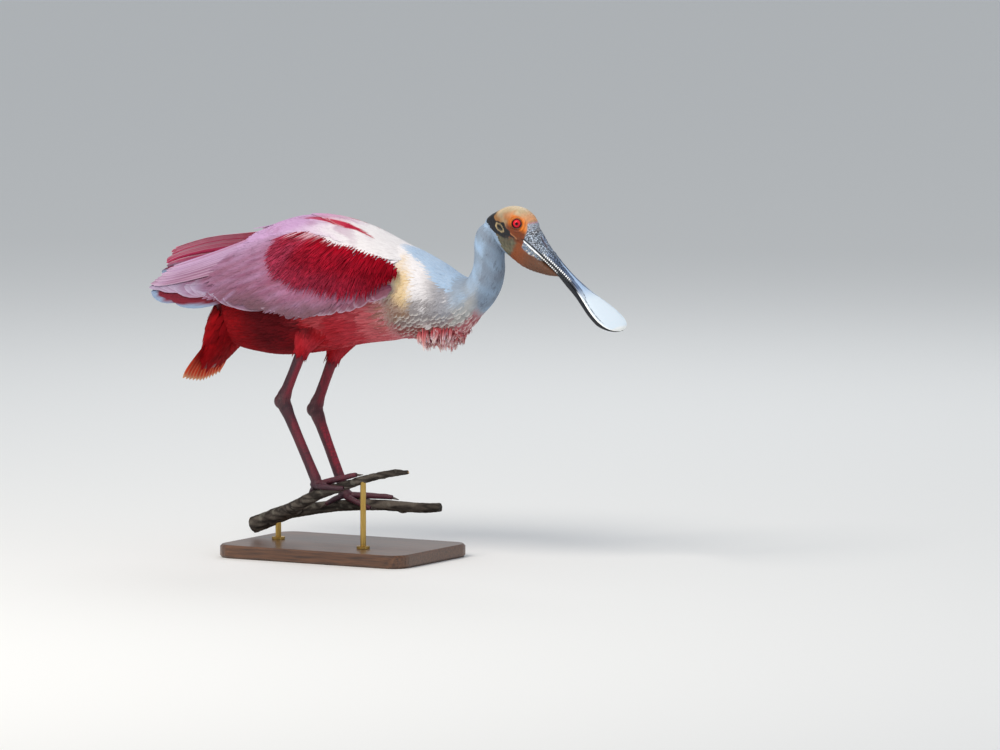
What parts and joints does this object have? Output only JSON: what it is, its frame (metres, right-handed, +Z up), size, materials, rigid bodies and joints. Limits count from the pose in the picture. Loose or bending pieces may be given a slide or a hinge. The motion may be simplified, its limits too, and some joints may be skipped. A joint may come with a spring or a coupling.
{
  "type": "roseate spoonbill",
  "caption": "Roseate spoonbill standing with folded wings and lowered spoon bill, gripping a forked limb held by rods over a flat base.",
  "frame": {"origin": "centre of the underside of the box round the whole model, on the floor that the base stands on", "axes": "+X the way the bird faces, +Z up, +Y the bird's left"},
  "size_m": [0.6631, 0.172, 0.4345],
  "materials": {
    "pink_feather": "matte, soft",
    "white_feather": "matte, soft",
    "crimson_feather": "matte, soft",
    "head_skin": "matte, finely wrinkled",
    "bill_horn": "satin horn",
    "eye": "wet gloss",
    "leg_skin": "satin scales",
    "claw": "satin horn",
    "bark": "rough bark",
    "stand_wood": "satin varnish",
    "stand_metal": "satin"
  },
  "bodies": {
    "root": {"head": "head_skin", "bill_upper": "bill_horn", "bill_lower": "bill_horn", "eye_left": "eye", "eye_right": "eye", "neck_upper": "white_feather", "neck_lower": "white_feather", "torso": "crimson_feather", "wing_left": "pink_feather", "wing_right": "pink_feather", "tail": "crimson_feather", "thigh_left": "crimson_feather", "shank_left": "leg_skin", "tarsus_left": "leg_skin", "foot_left": "leg_skin", "claw_left_middle": "claw", "claw_left_outer": "claw", "claw_left_inner": "claw", "claw_left_hind": "claw", "thigh_right": "crimson_feather", "shank_right": "leg_skin", "tarsus_right": "leg_skin", "foot_right": "leg_skin", "claw_right_middle": "claw", "claw_right_outer": "claw", "claw_right_inner": "claw", "claw_right_hind": "claw", "perch_limb": "bark", "perch_branch": "bark", "stand_base": "stand_wood", "stand_rod_back": "stand_metal", "stand_rod_front": "stand_metal"}
  },
  "joints": []
}
